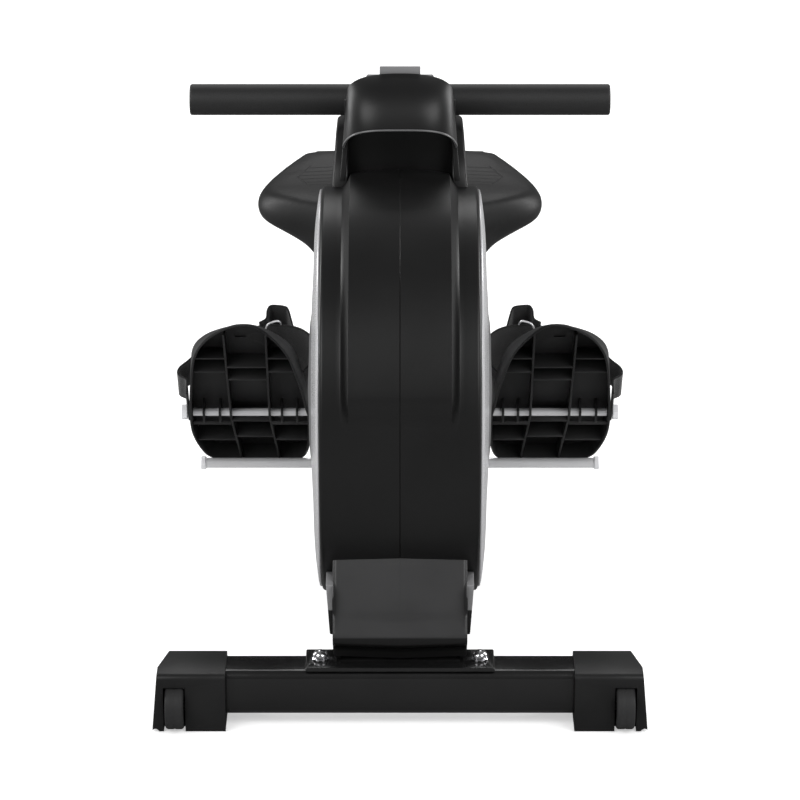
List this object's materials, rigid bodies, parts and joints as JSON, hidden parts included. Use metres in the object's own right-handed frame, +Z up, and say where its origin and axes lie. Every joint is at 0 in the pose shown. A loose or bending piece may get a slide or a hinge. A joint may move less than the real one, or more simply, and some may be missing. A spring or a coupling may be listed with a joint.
{
  "type": "magnetic rowing machine",
  "caption": "Folding magnetic rowing machine with a drum housing, pull handle on a strap, tilting footplates, sliding seat on a rail and front transport wheels.",
  "frame": {"origin": "on the floor, under the middle of the overall box", "axes": "+Y runs from the front stabiliser to the rear foot, +X to the right of someone facing the drum's front, +Z up"},
  "size_m": [0.5242, 1.797, 0.6491],
  "materials": {
    "black_paint": "gloss black paint",
    "black_case": "satin black",
    "dark_cover": "satin dark grey",
    "silver_plastic": "silver paint",
    "grey_plastic": "mid grey",
    "light_plastic": "light grey",
    "screen": "dark display",
    "chrome": "bright",
    "steel": "plain",
    "aluminium": "satin anodised",
    "foam": "matte foam",
    "webbing": "woven",
    "rubber": "matte",
    "vinyl": "black seat cover over foam",
    "iron": "cast"
  },
  "bodies": {
    "frame": {"front_stabiliser": "black_paint", "leg_bracket": "black_paint", "chassis_plate_left": "black_paint", "chassis_plate_right": "black_paint", "main_beam": "black_paint", "middle_foot": "black_paint", "front_cap_left": "black_case", "front_cap_right": "black_case", "casing_left": "black_case", "casing_right": "black_case", "head_cover": "black_case", "drive_belt": "rubber", "leg_cover": "dark_cover", "side_disc_left": "silver_plastic", "side_disc_right": "silver_plastic", "hub_dome_left": "grey_plastic", "hub_dome_right": "grey_plastic", "console_housing": "light_plastic", "console_tab": "light_plastic", "console_screen": "screen", "base_bolt_left": "chrome", "base_bolt_right": "chrome", "pedal_axle": "chrome", "heel_bar": "chrome", "pivot_bolt": "chrome", "head_bracket": "steel", "flywheel_axle": "steel", "pull_strap": "webbing"},
    "handle": {"handlebar": "steel", "grip_left": "foam", "grip_right": "foam"},
    "reel": {"strap_reel": "webbing"},
    "guide": {"guide_roller": "grey_plastic"},
    "flywheel_body": {"flywheel": "iron"},
    "pulley_body": {"belt_pulley": "grey_plastic"},
    "brake": {"brake_arm": "steel"},
    "knob": {"tension_knob": "black_case"},
    "button_left": {"console_button_left": "dark_cover"},
    "button_right": {"console_button_right": "dark_cover"},
    "pedal_left_body": {"pedal_left": "black_case", "foot_strap_left": "webbing", "strap_ring_left": "chrome"},
    "pedal_right_body": {"pedal_right": "black_case", "foot_strap_right": "webbing", "strap_ring_right": "chrome"},
    "rail_body": {"rail": "aluminium", "rail_tongue": "black_paint", "rear_stabiliser": "black_paint", "rear_cap_left": "rubber", "rear_cap_right": "rubber"},
    "lock": {"lock_pin": "black_case"},
    "seat": {"seat_carriage": "black_paint", "seat_pan": "black_case", "seat_cushion": "vinyl"},
    "roller_front": {"seat_roller_front": "grey_plastic"},
    "roller_rear": {"seat_roller_rear": "grey_plastic"},
    "roller_lower_left": {"seat_roller_lower_left": "grey_plastic"},
    "roller_lower_right": {"seat_roller_lower_right": "grey_plastic"},
    "wheel_left": {"transport_wheel_left": "rubber"},
    "wheel_right": {"transport_wheel_right": "rubber"}
  },
  "joints": [
    {"name": "handle_pull", "type": "slide", "parent": "frame", "child": "handle", "axis": [0, 0.9877, 0.1564], "range_m": [0, 1], "stiffness_N_per_m": 12, "springref_m": -1, "deforming": ["pull_strap"]},
    {"name": "reel_spin", "type": "hinge", "parent": "frame", "child": "reel", "pos_m": [0, -0.5965, 0.4], "axis": [1, 0, 0], "range_deg": [0, 2134]},
    {"name": "guide_spin", "type": "hinge", "parent": "frame", "child": "guide", "pos_m": [0, -0.5565, 0.5695], "axis": [1, 0, 0], "range_deg": [-4378, 0]},
    {"name": "flywheel_spin", "type": "hinge", "parent": "frame", "child": "flywheel_body", "pos_m": [0, -0.6465, 0.3], "axis": [1, 0, 0], "continuous": true},
    {"name": "pulley_spin", "type": "hinge", "parent": "frame", "child": "pulley_body", "pos_m": [0, -0.5965, 0.4], "axis": [1, 0, 0], "continuous": true},
    {"name": "tension_turn", "type": "hinge", "parent": "frame", "child": "knob", "pos_m": [0, -0.51062, 0.47391], "axis": [0, 0.6157, 0.788], "range_deg": [0, 315]},
    {"name": "brake_swing", "type": "hinge", "parent": "frame", "child": "brake", "pos_m": [0, -0.4945, 0.27], "axis": [1, 0, 0], "range_deg": [-6, 0]},
    {"name": "button_left_press", "type": "slide", "parent": "frame", "child": "button_left", "axis": [0, -0.5231, -0.8522], "range_m": [0, 0.0015], "stiffness_N_per_m": 300},
    {"name": "button_right_press", "type": "slide", "parent": "frame", "child": "button_right", "axis": [0, -0.5231, -0.8522], "range_m": [0, 0.0015], "stiffness_N_per_m": 300},
    {"name": "pedal_left_tilt", "type": "hinge", "parent": "frame", "child": "pedal_left_body", "pos_m": [-0.173, -0.4365, 0.19], "axis": [1, 0, 0], "range_deg": [0, 45]},
    {"name": "pedal_right_tilt", "type": "hinge", "parent": "frame", "child": "pedal_right_body", "pos_m": [0.173, -0.4365, 0.19], "axis": [1, 0, 0], "range_deg": [0, 45]},
    {"name": "rail_fold", "type": "hinge", "parent": "frame", "child": "rail_body", "pos_m": [0, -0.3265, 0.195], "axis": [-1, 0, 0], "range_deg": [-90, 0]},
    {"name": "lock_pull", "type": "slide", "parent": "frame", "child": "lock", "axis": [1, 0, 0], "range_m": [0, 0.01], "stiffness_N_per_m": 400},
    {"name": "seat_slide", "type": "slide", "parent": "rail_body", "child": "seat", "axis": [0, 1, 0], "range_m": [-0.08, 0.66]},
    {"name": "roller_front_spin", "type": "hinge", "parent": "seat", "child": "roller_front", "pos_m": [0, -0.0265, 0.2153], "axis": [1, 0, 0], "range_deg": [-2913, 357]},
    {"name": "roller_rear_spin", "type": "hinge", "parent": "seat", "child": "roller_rear", "pos_m": [0, 0.1035, 0.2153], "axis": [1, 0, 0], "range_deg": [-2913, 357]},
    {"name": "roller_lower_left_spin", "type": "hinge", "parent": "seat", "child": "roller_lower_left", "pos_m": [-0.034, 0.0385, 0.1877], "axis": [1, 0, 0], "range_deg": [-514, 4206]},
    {"name": "roller_lower_right_spin", "type": "hinge", "parent": "seat", "child": "roller_lower_right", "pos_m": [0.034, 0.0385, 0.1877], "axis": [1, 0, 0], "range_deg": [-514, 4206]},
    {"name": "wheel_left_spin", "type": "hinge", "parent": "frame", "child": "wheel_left", "pos_m": [-0.2382, -0.8735, 0.0265], "axis": [1, 0, 0], "continuous": true},
    {"name": "wheel_right_spin", "type": "hinge", "parent": "frame", "child": "wheel_right", "pos_m": [0.2382, -0.8735, 0.0265], "axis": [1, 0, 0], "continuous": true}
  ],
  "couplings": [
    {"joint": "reel_spin", "follows": "handle_pull", "rad_per_m": 37.175},
    {"joint": "guide_spin", "follows": "handle_pull", "rad_per_m": -76.336},
    {"joint": "pulley_spin", "follows": "flywheel_spin", "ratio": 0.3},
    {"joint": "brake_swing", "follows": "tension_turn", "ratio": -0.019048},
    {"joint": "roller_front_spin", "follows": "seat_slide", "rad_per_m": -76.923},
    {"joint": "roller_rear_spin", "follows": "seat_slide", "rad_per_m": -76.923},
    {"joint": "roller_lower_left_spin", "follows": "seat_slide", "rad_per_m": 111.11},
    {"joint": "roller_lower_right_spin", "follows": "seat_slide", "rad_per_m": 111.11}
  ]
}
